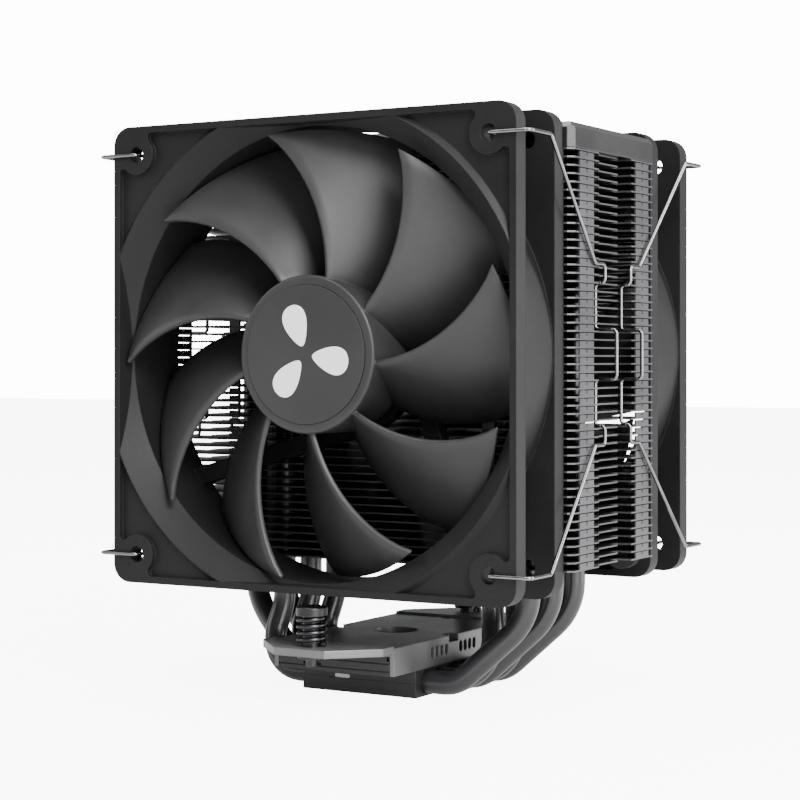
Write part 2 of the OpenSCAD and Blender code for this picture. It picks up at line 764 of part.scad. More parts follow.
wire_clip(-1, front_y, front_slot_y, 1);  // clip_front_left
wire_clip(1, front_y, front_slot_y, 1);  // clip_front_right
wire_clip(-1, fan_rear_y, rear_slot_y, -1);  // clip_rear_left
wire_clip(1, fan_rear_y, rear_slot_y, -1);  // clip_rear_right
screw(-screw_y);  // screw_front
retainer_ring(-screw_y);  // ring_front
coil_spring(-screw_y);  // spring_front
screw(screw_y);  // screw_rear
retainer_ring(screw_y);  // ring_rear
coil_spring(screw_y);  // spring_rear
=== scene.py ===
import bpy
from math import radians, pi, sin, cos
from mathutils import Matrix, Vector


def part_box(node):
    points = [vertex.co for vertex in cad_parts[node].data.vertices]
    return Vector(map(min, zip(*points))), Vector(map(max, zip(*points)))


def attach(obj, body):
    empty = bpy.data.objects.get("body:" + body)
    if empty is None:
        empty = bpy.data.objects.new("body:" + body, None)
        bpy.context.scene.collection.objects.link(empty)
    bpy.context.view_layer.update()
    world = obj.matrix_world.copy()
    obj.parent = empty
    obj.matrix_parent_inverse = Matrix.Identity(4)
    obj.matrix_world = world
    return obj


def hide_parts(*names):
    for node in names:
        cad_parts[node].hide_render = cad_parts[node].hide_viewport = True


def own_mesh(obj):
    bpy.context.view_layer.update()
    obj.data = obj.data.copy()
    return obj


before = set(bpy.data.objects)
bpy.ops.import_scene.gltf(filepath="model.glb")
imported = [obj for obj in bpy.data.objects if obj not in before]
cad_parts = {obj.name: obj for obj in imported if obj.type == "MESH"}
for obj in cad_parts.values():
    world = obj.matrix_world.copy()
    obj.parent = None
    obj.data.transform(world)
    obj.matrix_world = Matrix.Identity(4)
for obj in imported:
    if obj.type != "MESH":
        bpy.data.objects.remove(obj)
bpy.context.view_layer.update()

mm = 0.001
mergeGap = 0.005 * mm    # points closer than this become one
squarely = 0.9           # how straight a face must look along an axis to be picked


def deselectAll():
    if bpy.context.object and bpy.context.object.mode != "OBJECT":
        bpy.ops.object.mode_set(mode="OBJECT")
    bpy.ops.object.select_all(action="DESELECT")


def selectOnly(obj):
    deselectAll()
    obj.select_set(True)
    bpy.context.view_layer.objects.active = obj


def applyModifier(obj, kind, **settings):
    selectOnly(obj)
    modifier = obj.modifiers.new(kind.lower(), kind)
    for key, value in settings.items():
        setattr(modifier, key, value)
    bpy.ops.object.modifier_apply(modifier=modifier.name)


def pickFaces(obj, test):
    # leaves edit mode on, face select, with only the faces that pass the test
    selectOnly(obj)
    bpy.ops.object.mode_set(mode="EDIT")
    bpy.ops.mesh.select_mode(type="FACE")
    bpy.ops.mesh.select_all(action="DESELECT")
    bpy.ops.object.mode_set(mode="OBJECT")
    for face in obj.data.polygons:
        face.select = test(face)
    bpy.ops.object.mode_set(mode="EDIT")


def joinPieces(pieces, name):
    deselectAll()
    for piece in pieces:
        piece.select_set(True)
    bpy.context.view_layer.objects.active = pieces[0]
    bpy.ops.object.join()
    joined = bpy.context.object
    joined.name = name
    joined.data.name = name
    return joined


def settle(obj, sharpAngle=35):
    selectOnly(obj)
    bpy.ops.object.transform_apply(location=True, rotation=True, scale=True)
    bpy.ops.object.mode_set(mode="EDIT")
    bpy.ops.mesh.select_all(action="SELECT")
    bpy.ops.mesh.remove_doubles(threshold=mergeGap)
    bpy.ops.mesh.normals_make_consistent(inside=False)
    bpy.ops.object.mode_set(mode="OBJECT")
    bpy.ops.object.shade_smooth_by_angle(angle=radians(sharpAngle))


camera = {
    "place": (0.27775, -0.46317, 0.08707),
    "turn": 30.297,          # degrees round the object from straight in front
    "lens": 90.295,
    "sensor": 36,
    "shift": (-0.0223, -0.0503),
}


def setCamera():
    level = (pi / 2, 0, radians(camera["turn"]))
    bpy.ops.object.camera_add(location=camera["place"], rotation=level)
    view = bpy.context.object
    view.name = "viewCamera"
    view.data.lens = camera["lens"]
    view.data.sensor_width = camera["sensor"]
    view.data.shift_x, view.data.shift_y = camera["shift"]
    bpy.context.scene.camera = view


studio = {
    "sky": (0.97, 0.98, 1.0),
    "skyPower": 0.45,        # what lights the object
    "backdropPower": 14.0,   # what the camera sees behind it
    "floorSize": 6,
    "floorDrop": 0.05 * mm,  # keeps the floor just under the cold plate
    "floorTone": (0.6, 0.6, 0.6),
    "floorPatch": 0.97,      # share of the tone in the faint patches
    "floorRough": 0.7,
    "floorGlow": 0.35,       # light that the floor sends up
    "floorShine": 8.0,       # how bright the camera sees it
    "softboxes": [  # name, place, aim, width, height, watts
        ("keySoftbox", (0.68, -0.5, 0.72), (0.0, 0, 0.09), 0.45, 0.45, 17.0),
        ("bladePanel", (0.9, -0.5, 0.2), (0.0, -0.03, 0.09), 0.5, 0.5, 7.0),
        ("sideStrip", (0.62, 0.35, 0.25), (0.05, 0.02, 0.09), 0.22, 0.7, 8.5),
        ("fillSoftbox", (-0.8, -0.35, 0.45), (0, 0, 0.09), 0.5, 0.5, 2.0),
        ("topSoftbox", (0.0, 0.1, 1.0), (0, 0, 0.1), 0.9, 0.9, 18.0),
    ],
}


def setStudio():
    world = bpy.data.worlds.new("studioSky")
    world.use_nodes = True
    tree = world.node_tree
    sky = tree.nodes["Background"]
    backdrop = tree.nodes.new("ShaderNodeBackground")
    for node, power in ((sky, "skyPower"), (backdrop, "backdropPower")):
        node.inputs["Color"].default_value = (*studio["sky"], 1)
        node.inputs["Strength"].default_value = studio[power]
    path = tree.nodes.new("ShaderNodeLightPath")
    choose = tree.nodes.new("ShaderNodeMixShader")
    tree.links.new(path.outputs["Is Camera Ray"], choose.inputs[0])
    tree.links.new(sky.outputs[0], choose.inputs[1])
    tree.links.new(backdrop.outputs[0], choose.inputs[2])
    tree.links.new(choose.outputs[0], tree.nodes["World Output"].inputs["Surface"])
    bpy.context.scene.world = world
    deselectAll()
    bpy.ops.mesh.primitive_plane_add(size=studio["floorSize"], location=(0, 0, -studio["floorDrop"]))
    floor = bpy.context.object
    floor.name = "studioFloor"
    floor.data.materials.append(makeFloorPaint())
    for name, place, aim, wide, high, power in studio["softboxes"]:
        bpy.ops.object.light_add(type="AREA", location=place)
        lamp = bpy.context.object
        lamp.name = name
        lamp.data.shape = "RECTANGLE"
        lamp.data.size = wide
        lamp.data.size_y = high
        lamp.data.energy = power
        towards = Vector(aim) - Vector(place)
        lamp.rotation_euler = towards.to_track_quat("-Z", "Y").to_euler()
    print("camera, floor and", len(studio["softboxes"]), "softboxes set")


def startGroup(name, inputs, outputs):
    tree = bpy.data.node_groups.new(name, "ShaderNodeTree")
    for label, kind, value in inputs:
        socket = tree.interface.new_socket(name=label, in_out="INPUT", socket_type=kind)
        if value is not None:
            socket.default_value = value
    for label, kind in outputs:
        tree.interface.new_socket(name=label, in_out="OUTPUT", socket_type=kind)
    return tree, tree.nodes.new("NodeGroupInput"), tree.nodes.new("NodeGroupOutput")


def addMath(tree, operation, first, second=None, clamp=False):
    node = tree.nodes.new("ShaderNodeMath")
    node.operation = operation
    node.use_clamp = clamp
    for index, value in enumerate((first, second)):
        if value is None:
            continue
        if isinstance(value, (int, float)):
            node.inputs[index].default_value = value
        else:
            tree.links.new(value, node.inputs[index])
    return node.outputs[0]


def addNoise(tree, vector, scale, detail=4, rough=0.5):
    noise = tree.nodes.new("ShaderNodeTexNoise")
    noise.inputs["Detail"].default_value = detail
    noise.inputs["Roughness"].default_value = rough
    tree.links.new(vector, noise.inputs["Vector"])
    if isinstance(scale, (int, float)):
        noise.inputs["Scale"].default_value = scale
    else:
        tree.links.new(scale, noise.inputs["Scale"])
    return noise.outputs["Fac"]


grainMix = {"coarseScale": 0.28, "fineShare": 0.65, "coarseShare": 0.35, "cloudFloor": 0.3, "cloudGain": 2.4}


def buildGrainGroup():
    # fine moulded or sprayed grain with slow cloudy variation over it
    tree, start, end = startGroup(
        "surfaceGrain",
        [("Vector", "NodeSocketVector", None), ("Grain", "NodeSocketFloat", 2500.0),
         ("Cloud", "NodeSocketFloat", 40.0)],
        [("Height", "NodeSocketFloat"), ("Cloud", "NodeSocketFloat")])
    where = start.outputs["Vector"]
    fine = addNoise(tree, where, start.outputs["Grain"], 3, 0.6)
    coarser = addMath(tree, "MULTIPLY", start.outputs["Grain"], grainMix["coarseScale"])
    coarse = addNoise(tree, where, coarser, 2, 0.5)
    height = addMath(tree, "ADD", addMath(tree, "MULTIPLY", fine, grainMix["fineShare"]),
                     addMath(tree, "MULTIPLY", coarse, grainMix["coarseShare"]))
    cloud = addNoise(tree, where, start.outputs["Cloud"], 5, 0.6)
    above = addMath(tree, "SUBTRACT", cloud, grainMix["cloudFloor"])
    spread = addMath(tree, "MULTIPLY", above, grainMix["cloudGain"], clamp=True)
    tree.links.new(height, end.inputs["Height"])
    tree.links.new(spread, end.inputs["Cloud"])
    return tree


edgeMix = {"leanStart": 0.985, "leanGain": 9.0, "breakScale": 420, "breakFloor": 0.35, "breakGain": 3.0}


def buildEdgeGroup():
    # how far the rounded normal leans away from the flat one: only near edges; the lighter edge colour it
    # drives is partly wear and partly painted highlight
    tree, start, end = startGroup(
        "edgeWear",
        [("Vector", "NodeSocketVector", None), ("Width", "NodeSocketFloat", 0.0004),
         ("Wear", "NodeSocketFloat", 0.6)],
        [("Mask", "NodeSocketFloat"), ("Normal", "NodeSocketVector")])
    bevel = tree.nodes.new("ShaderNodeBevel")
    bevel.samples = 4
    tree.links.new(start.outputs["Width"], bevel.inputs["Radius"])
    geometry = tree.nodes.new("ShaderNodeNewGeometry")
    dot = tree.nodes.new("ShaderNodeVectorMath")
    dot.operation = "DOT_PRODUCT"
    tree.links.new(bevel.outputs["Normal"], dot.inputs[0])
    tree.links.new(geometry.outputs["Normal"], dot.inputs[1])
    leaning = addMath(tree, "SUBTRACT", edgeMix["leanStart"], dot.outputs["Value"])
    lean = addMath(tree, "MULTIPLY", leaning, edgeMix["leanGain"], clamp=True)
    breaks = addNoise(tree, start.outputs["Vector"], edgeMix["breakScale"], 6, 0.7)
    above = addMath(tree, "SUBTRACT", breaks, edgeMix["breakFloor"])
    broken = addMath(tree, "MULTIPLY", above, edgeMix["breakGain"], clamp=True)
    # painted highlight: this mask lightens every edge, partly as wear and partly as painted highlight
    wornAndShinyEdge = addMath(tree, "MULTIPLY", lean, broken)
    mask = addMath(tree, "MULTIPLY", wornAndShinyEdge, start.outputs["Wear"], clamp=True)
    tree.links.new(mask, end.inputs["Mask"])
    tree.links.new(bevel.outputs["Normal"], end.inputs["Normal"])
    return tree


brushMix = {"thinScale": 3.1, "wideShare": 0.5, "thinShare": 0.5}


def buildBrushGroup():
    # long fine drawn lines; the stretch is set by the Mapping in front of it
    tree, start, end = startGroup(
        "drawnLines",
        [("Vector", "NodeSocketVector", None), ("Scale", "NodeSocketFloat", 900.0)],
        [("Lines", "NodeSocketFloat")])
    wide = addNoise(tree, start.outputs["Vector"], start.outputs["Scale"], 2, 0.5)
    thinner = addMath(tree, "MULTIPLY", start.outputs["Scale"], brushMix["thinScale"])
    thin = addNoise(tree, start.outputs["Vector"], thinner, 3, 0.6)
    lines = addMath(tree, "ADD", addMath(tree, "MULTIPLY", wide, brushMix["wideShare"]),
                    addMath(tree, "MULTIPLY", thin, brushMix["thinShare"]))
    tree.links.new(lines, end.inputs["Lines"])
    return tree


dustMix = {"speckScale": 260, "speckSize": 0.045, "filmScale": 55, "filmShare": 0.6, "speckShare": 0.4,
           "tone": (0.32, 0.31, 0.3)}


def buildDustGroup():
    # a few light specks and a thin film on faces that look up
    tree, start, end = startGroup(
        "dustFilm",
        [("Vector", "NodeSocketVector", None), ("Amount", "NodeSocketFloat", 0.3)],
        [("Mask", "NodeSocketFloat")])
    specks = tree.nodes.new("ShaderNodeTexVoronoi")
    specks.inputs["Scale"].default_value = dustMix["speckScale"]
    tree.links.new(start.outputs["Vector"], specks.inputs["Vector"])
    dots = addMath(tree, "LESS_THAN", specks.outputs["Distance"], dustMix["speckSize"])
    film = addNoise(tree, start.outputs["Vector"], dustMix["filmScale"], 5, 0.65)
    geometry = tree.nodes.new("ShaderNodeNewGeometry")
    split = tree.nodes.new("ShaderNodeSeparateXYZ")
    tree.links.new(geometry.outputs["Normal"], split.inputs[0])
    up = addMath(tree, "MAXIMUM", split.outputs["Z"], 0.0)
    layer = addMath(tree, "ADD", addMath(tree, "MULTIPLY", film, dustMix["filmShare"]),
                    addMath(tree, "MULTIPLY", dots, dustMix["speckShare"]))
    settled = addMath(tree, "MULTIPLY", layer, up)
    mask = addMath(tree, "MULTIPLY", settled, start.outputs["Amount"], clamp=True)
    tree.links.new(mask, end.inputs["Mask"])
    return tree


shaderGroups = {}


def buildShaderGroups():
    shaderGroups["grain"] = buildGrainGroup()
    shaderGroups["edge"] = buildEdgeGroup()
    shaderGroups["brush"] = buildBrushGroup()
    shaderGroups["dust"] = buildDustGroup()


def startMaterial(name):
    material = bpy.data.materials.new(name)
    material.use_nodes = True
    tree = material.node_tree
    place = tree.nodes.new("ShaderNodeTexCoord")
    return material, tree, tree.nodes["Principled BSDF"], place.outputs["Object"]


def placeGroup(tree, key, vector, **values):
    node = tree.nodes.new("ShaderNodeGroup")
    node.node_tree = shaderGroups[key]
    tree.links.new(vector, node.inputs["Vector"])
    for label, value in values.items():
        node.inputs[label].default_value = value
    return node


def blendColour(tree, mask, first, second):
    node = tree.nodes.new("ShaderNodeMix")
    node.data_type = "RGBA"
    tree.links.new(mask, node.inputs["Factor"])
    for index, value in ((6, first), (7, second)):
        if isinstance(value, tuple):
            node.inputs[index].default_value = (*value, 1)
        else:
            tree.links.new(value, node.inputs[index])
    return node.outputs[2]


def stretch(tree, mask, low, high):
    node = tree.nodes.new("ShaderNodeMapRange")
    tree.links.new(mask, node.inputs["Value"])
    node.inputs["To Min"].default_value = low
    node.inputs["To Max"].default_value = high
    return node.outputs["Result"]


def addBump(tree, height, strength, distance, normal=None):
    bump = tree.nodes.new("ShaderNodeBump")
    bump.inputs["Strength"].default_value = strength
    bump.inputs["Distance"].default_value = distance
    tree.links.new(height, bump.inputs["Height"])
    if normal is not None:
        tree.links.new(normal, bump.inputs["Normal"])
    return bump.outputs["Normal"]


coatRoughSpread = (-0.05, 0.07)
metalRoughSpread = (-0.08, 0.12)


def makeCoating(name, look):
    # black or grey coat over metal or plastic: grain, cloudy gloss, edges lightened partly by wear and partly
    # by painted highlight, and dust
    material, tree, shader, where = startMaterial(name)
    grain = placeGroup(tree, "grain", where, Grain=look["grain"], Cloud=look["cloud"])
    edge = placeGroup(tree, "edge", where, Width=look["edgeWidth"], Wear=look["edgeWear"])
    dust = placeGroup(tree, "dust", where, Amount=look["dust"])
    tone = blendColour(tree, grain.outputs["Cloud"], look["dark"], look["light"])
    # edges lightened towards the edge tone: partly wear, partly painted highlight
    tone = blendColour(tree, edge.outputs["Mask"], tone, look["wornAndShinyEdge"])
    tone = blendColour(tree, dust.outputs["Mask"], tone, dustMix["tone"])
    tree.links.new(tone, shader.inputs["Base Color"])
    smooth, rough = (look["rough"] + part for part in coatRoughSpread)
    tree.links.new(stretch(tree, grain.outputs["Cloud"], smooth, rough), shader.inputs["Roughness"])
    bump = addBump(tree, grain.outputs["Height"], look["bump"], look["bumpDepth"], edge.outputs["Normal"])
    tree.links.new(bump, shader.inputs["Normal"])
    shader.inputs["Metallic"].default_value = look.get("metallic", 0.0)
    shader.inputs["Specular IOR Level"].default_value = look.get("specular", 0.5)
    if "coat" in look:
        shader.inputs["Coat Weight"].default_value = look["coat"]
        shader.inputs["Coat Roughness"].default_value = look["coatRough"]
    return material


def makeBareMetal(name, look):
    # bare metal: drawn lines along one axis, uneven polish, slightly darker in patches
    material, tree, shader, where = startMaterial(name)
    mapping = tree.nodes.new("ShaderNodeMapping")
    mapping.inputs["Scale"].default_value = look["lineStretch"]
    tree.links.new(where, mapping.inputs["Vector"])
    brush = placeGroup(tree, "brush", mapping.outputs["Vector"], Scale=look["lineScale"])
    grain = placeGroup(tree, "grain", where, Grain=look["lineScale"], Cloud=look["cloud"])
    edge = placeGroup(tree, "edge", where, Width=look["edgeWidth"], Wear=look["edgeWear"])
    tone = blendColour(tree, grain.outputs["Cloud"], look["dark"], look["light"])
    # edges lightened towards the edge tone: partly wear, partly painted highlight
    tone = blendColour(tree, edge.outputs["Mask"], tone, look["wornAndShinyEdge"])
    tree.links.new(tone, shader.inputs["Base Color"])
    smooth, rough = (look["rough"] + part for part in metalRoughSpread)
    tree.links.new(stretch(tree, brush.outputs["Lines"], smooth, rough), shader.inputs["Roughness"])
    bump = addBump(tree, brush.outputs["Lines"], look["bump"], look["bumpDepth"], edge.outputs["Normal"])
    tree.links.new(bump, shader.inputs["Normal"])
    shader.inputs["Metallic"].default_value = 1.0
    return material


# each look's edge tone is lighter than its body: partly wear, partly painted highlight
coatings = {
    "fanFramePlastic": dict(dark=(0.007, 0.007, 0.0074), light=(0.011, 0.011, 0.0115),
                            wornAndShinyEdge=(0.03, 0.03, 0.032), specular=0.2, rough=0.48, grain=2600.0,
                            cloud=30.0, bump=0.35, bumpDepth=0.00012, edgeWidth=0.0004,
                            edgeWear=0.35, dust=0.02),
    "bladePlastic": dict(dark=(0.018, 0.018, 0.0185), light=(0.028, 0.028, 0.029), wornAndShinyEdge=(0.05, 0.05, 0.052),
                         specular=0.4, rough=0.42, grain=3400.0, cloud=45.0, bump=0.3, bumpDepth=0.0001,
                         edgeWidth=0.0004, edgeWear=0.3, dust=0.02),
    "pipeCoat": dict(dark=(0.012, 0.012, 0.013), light=(0.02, 0.02, 0.022), wornAndShinyEdge=(0.12, 0.11, 0.1),
                     rough=0.3, grain=1500.0, cloud=60.0, bump=0.12, bumpDepth=0.00006,
                     edgeWidth=0.0003, edgeWear=0.25, dust=0.02, coat=0.35, coatRough=0.15),
    "coverCoat": dict(dark=(0.007, 0.007, 0.0075), light=(0.012, 0.012, 0.0125), wornAndShinyEdge=(0.06, 0.06, 0.062),
                      rough=0.32, grain=1800.0, cloud=35.0, bump=0.1, bumpDepth=0.00005,
                      edgeWidth=0.0006, edgeWear=0.3, dust=0.03, coat=0.25, coatRough=0.14),
    "baseCoat": dict(dark=(0.018, 0.018, 0.0185), light=(0.028, 0.028, 0.029), wornAndShinyEdge=(0.12, 0.12, 0.125),
                     rough=0.4, grain=1600.0, cloud=50.0, bump=0.16, bumpDepth=0.00007,
                     edgeWidth=0.0004, edgeWear=0.5, dust=0.03, metallic=0.3),
    "crossbarCoat": dict(dark=(0.13, 0.13, 0.133), light=(0.17, 0.17, 0.174), wornAndShinyEdge=(0.2, 0.2, 0.205),
                         rough=0.33, grain=1700.0, cloud=45.0, bump=0.14, bumpDepth=0.00006,
                         edgeWidth=0.0005, edgeWear=0.55, dust=0.03, metallic=0.5),
    "padRubber": dict(dark=(0.012, 0.012, 0.012), light=(0.02, 0.02, 0.02), wornAndShinyEdge=(0.03, 0.03, 0.03),
                      rough=0.75, grain=1900.0, cloud=70.0, bump=0.5, bumpDepth=0.0002,
                      edgeWidth=0.0004, edgeWear=0.2, dust=0.08),
    "hubLabel": dict(dark=(0.016, 0.016, 0.0165), light=(0.023, 0.023, 0.024), wornAndShinyEdge=(0.08, 0.08, 0.08),
                     rough=0.42, grain=2200.0, cloud=25.0, bump=0.15, bumpDepth=0.00005,
                     edgeWidth=0.0002, edgeWear=0.3, dust=0.02),
    "hubMarkPrint": dict(dark=(0.8, 0.8, 0.8), light=(0.88, 0.88, 0.88), wornAndShinyEdge=(0.6, 0.6, 0.6),
                         rough=0.45, grain=2600.0, cloud=40.0, bump=0.15, bumpDepth=0.00004,
                         edgeWidth=0.0001, edgeWear=0.3, dust=0.02),
    "circuitLacquer": dict(dark=(0.006, 0.05, 0.022), light=(0.01, 0.075, 0.035), wornAndShinyEdge=(0.2, 0.15, 0.05),
                           rough=0.35, grain=1200.0, cloud=160.0, bump=0.2, bumpDepth=0.0001,
                           edgeWidth=0.0003, edgeWear=0.5, dust=0.02),
    "magnetFerrite": dict(dark=(0.05, 0.05, 0.052), light=(0.08, 0.08, 0.082), wornAndShinyEdge=(0.2, 0.2, 0.2),
                          rough=0.6, grain=1500.0, cloud=90.0, bump=0.4, bumpDepth=0.0002,
                          edgeWidth=0.0004, edgeWear=0.6, dust=0.0),
}

bareMetals = {
    "motorSteel": dict(dark=(0.35, 0.35, 0.36), light=(0.46, 0.46, 0.47), wornAndShinyEdge=(0.75, 0.75, 0.76),
                       rough=0.33, lineScale=1800.0, lineStretch=(0.1, 1, 1), cloud=150.0, bump=0.12,
                       bumpDepth=0.00005, edgeWidth=0.0003, edgeWear=0.6),
    "clipWireSteel": dict(dark=(0.17, 0.17, 0.173), light=(0.27, 0.27, 0.275), wornAndShinyEdge=(0.6, 0.6, 0.6),
                          rough=0.2, lineScale=1500.0, lineStretch=(1, 1, 0.08), cloud=120.0, bump=0.1,
                          bumpDepth=0.00005, edgeWidth=0.0001, edgeWear=0.3),
    "screwSteel": dict(dark=(0.035, 0.035, 0.036), light=(0.06, 0.06, 0.062), wornAndShinyEdge=(0.3, 0.3, 0.31),
                       rough=0.33, lineScale=1800.0, lineStretch=(0.1, 1, 1), cloud=150.0, bump=0.12,
                       bumpDepth=0.00005, edgeWidth=0.0003, edgeWear=0.6),
    "springSteel": dict(dark=(0.05, 0.05, 0.052), light=(0.09, 0.09, 0.093), wornAndShinyEdge=(0.3, 0.3, 0.3),
                        rough=0.3, lineScale=1500.0, lineStretch=(1, 1, 1), cloud=150.0, bump=0.1,
                        bumpDepth=0.00005, edgeWidth=0.0001, edgeWear=0.3),
    "bearingBronze": dict(dark=(0.4, 0.25, 0.1), light=(0.52, 0.34, 0.15), wornAndShinyEdge=(0.8, 0.6, 0.3),
                          rough=0.35, lineScale=1400.0, lineStretch=(1, 1, 0.1), cloud=160.0, bump=0.2,
                          bumpDepth=0.00008, edgeWidth=0.0003, edgeWear=0.5),
    "windingCopper": dict(dark=(0.42, 0.16, 0.06), light=(0.6, 0.25, 0.1), wornAndShinyEdge=(0.9, 0.5, 0.3),
                          rough=0.3, lineScale=600.0, lineStretch=(1, 0.05, 6), cloud=200.0, bump=0.6,
                          bumpDepth=0.0003, edgeWidth=0.0005, edgeWear=0.4),
}


finLook = dict(plateDark=(0.02, 0.02, 0.021), plateLight=(0.03, 0.03, 0.032), edgeTone=(0.13, 0.13, 0.135),
               smooth=0.28, rough=0.42, grain=1400.0, cloud=35.0, flatLimit=0.5, scrape=(0.35, 1.0),
               metallic=(0.3, 0.8), bump=0.12, bumpDepth=0.00006)


def makeFinCoat():
    # satin black plates whose cut edges are bare and bright
    material, tree, shader, where = startMaterial("finCoat")
    grain = placeGroup(tree, "grain", where, Grain=finLook["grain"], Cloud=finLook["cloud"])
    cloud = grain.outputs["Cloud"]
    geometry = tree.nodes.new("ShaderNodeNewGeometry")
    split = tree.nodes.new("ShaderNodeSeparateXYZ")
    tree.links.new(geometry.outputs["Normal"], split.inputs[0])
    flat = addMath(tree, "ABSOLUTE", split.outputs["Z"])
    cutEdge = addMath(tree, "LESS_THAN", flat, finLook["flatLimit"])
    scrape = addMath(tree, "MULTIPLY", cutEdge, stretch(tree, cloud, *finLook["scrape"]))
    plate = blendColour(tree, cloud, finLook["plateDark"], finLook["plateLight"])
    tree.links.new(blendColour(tree, scrape, plate, finLook["edgeTone"]), shader.inputs["Base Color"])
    tree.links.new(stretch(tree, cloud, finLook["smooth"], finLook["rough"]), shader.inputs["Roughness"])
    tree.links.new(stretch(tree, scrape, *finLook["metallic"]), shader.inputs["Metallic"])
    bump = addBump(tree, grain.outputs["Height"], finLook["bump"], finLook["bumpDepth"])
    tree.links.new(bump, shader.inputs["Normal"])
    return material


def makeFloorPaint():
    material, tree, shader, where = startMaterial("floorPaint")
    cloud = addNoise(tree, where, 3, 4, 0.5)
    tone = studio["floorTone"]
    patch = tuple(studio["floorPatch"] * part for part in tone)
    tree.links.new(blendColour(tree, cloud, patch, tone), shader.inputs["Base Color"])
    shader.inputs["Roughness"].default_value = studio["floorRough"]
    shader.inputs["Emission Color"].default_value = (1, 1, 1, 1)
    path = tree.nodes.new("ShaderNodeLightPath")
    tree.links.new(stretch(tree, path.outputs["Is Camera Ray"], studio["floorGlow"], studio["floorShine"]),
                   shader.inputs["Emission Strength"])
    return material


cadFinishes = {
    "fanFramePlastic": ["front_frame", "rear_frame"],
    "pipeCoat": ["pipe_1", "pipe_2", "pipe_3", "pipe_4", "pipe_5"],
    "coverCoat": ["top_cover"],
    "baseCoat": ["cold_plate", "pipe_block", "spreader"],
    "crossbarCoat": ["crossbar"],
    "finCoat": ["fins"],
    "padRubber": ["rear_pads"],
    "hubLabel": ["front_badge", "rear_badge", "front_rating", "rear_rating"],
    "circuitLacquer": ["front_board", "rear_board"],
    "magnetFerrite": ["front_magnet", "rear_magnet"],
    "clipWireSteel": ["clip_front_left", "clip_front_right", "clip_rear_left", "clip_rear_right"],
    "screwSteel": ["screw_front", "screw_rear", "ring_front", "ring_rear"],
    "motorSteel": ["bridge_pins", "lock_keys", "front_shaft", "rear_shaft", "front_stator", "rear_stator"],
    "bearingBronze": ["front_bearing", "rear_bearing"],
    "windingCopper": ["front_windings", "rear_windings"],
}
finishes = {}


def dressCadNodes():
    for name, look in coatings.items():
        finishes[name] = makeCoating(name, look)
    for name, look in bareMetals.items():
        finishes[name] = makeBareMetal(name, look)
    finishes["finCoat"] = makeFinCoat()
    for name, nodes in cadFinishes.items():
        for node in nodes:
            for slot in bpy.data.objects[node].material_slots:
                slot.material = finishes[name]
    print("materials on", sum(len(nodes) for nodes in cadFinishes.values()), "carried nodes")


rotor = {
    "axisHeight": 88.4,
    "hubRadius": 20.0,
    "hubFront": 1.0,        # depth behind the fan's front face
    "hubDepth": 16.5,
    "wall": 1.4,
    "edgeRound": 0.9,
    "badgeRadius": 17.6,
    "badgeStep": 0.12,
    "badgeSink": 0.15,
    "hubSides": 96,
    "blades": 9,
    "rootSink": 0.8,        # how far a blade's root reaches into the hub
    "tipRadius": 56.8,
    "firstTip": 22.4,       # degrees from +X towards +Z
    "sweep": 28.0,          # degrees that the front edge trails from tip to hub
    "sweepPower": 0.9,
    "sweepLimit": 1.05,
    "turn": 34.0,           # degrees from the front edge to the rear edge
    "camber": 0.9,
    "bladeFront": 2.0,
    "bladeDepth": 17.0,
    "bladeThick": 1.5,
    "bladeEdge": 0.45,
    "bladeSharp": 50,       # degrees from which an edge of the blade is rounded
    "bladeGrid": (14, 10),
}


def makeHub(fanFront):
    # cup that opens to the rear, with a shallow seat for the label
    front = fanFront + rotor["hubFront"] * mm
    deep = rotor["hubDepth"] * mm
    deselectAll()
    bpy.ops.mesh.primitive_cylinder_add(
        vertices=rotor["hubSides"], radius=rotor["hubRadius"] * mm, depth=deep,
        location=(0, front + deep / 2, rotor["axisHeight"] * mm), rotation=(pi / 2, 0, 0))
    hub = bpy.context.object
    bpy.ops.object.transform_apply(location=True, rotation=True, scale=True)
    pickFaces(hub, lambda face: face.normal.y < -squarely)
    bpy.ops.mesh.bevel(offset=rotor["edgeRound"] * mm, segments=4, affect="EDGES")
    bpy.ops.object.mode_set(mode="OBJECT")
    frontFaces = [face for face in hub.data.polygons if face.normal.y < -squarely]
    seat = max(frontFaces, key=lambda face: face.area).index
    pickFaces(hub, lambda face: face.index == seat)
    bpy.ops.mesh.inset(thickness=(rotor["hubRadius"] - rotor["edgeRound"] - rotor["badgeRadius"]) * mm)
    bpy.ops.mesh.inset(thickness=rotor["badgeStep"] * mm, depth=-rotor["badgeSink"] * mm)
    bpy.ops.object.mode_set(mode="OBJECT")
    pickFaces(hub, lambda face: face.normal.y > squarely)
    bpy.ops.mesh.inset(thickness=rotor["wall"] * mm)
    bpy.ops.mesh.inset(thickness=0.0, depth=-(rotor["hubDepth"] - 2 * rotor["wall"]) * mm)
    bpy.ops.object.mode_set(mode="OBJECT")
    return hub


def bladePoint(along, across):
    # along runs from hub to tip, across from the front edge to the rear edge
    inner = rotor["hubRadius"] - rotor["rootSink"]
    radius = inner + (rotor["tipRadius"] - inner) * along
    share = max(0.0, (rotor["tipRadius"] - radius) / (rotor["tipRadius"] - rotor["hubRadius"]))
    lean = rotor["sweep"] * min(share, rotor["sweepLimit"]) ** rotor["sweepPower"]
    angle = radians(rotor["firstTip"] - lean - rotor["turn"] * across)
    camber = rotor["camber"] * sin(pi * across) * along
    depth = rotor["bladeFront"] + rotor["bladeDepth"] * across - camber
    return radius * cos(angle) * mm, depth * mm, radius * sin(angle) * mm


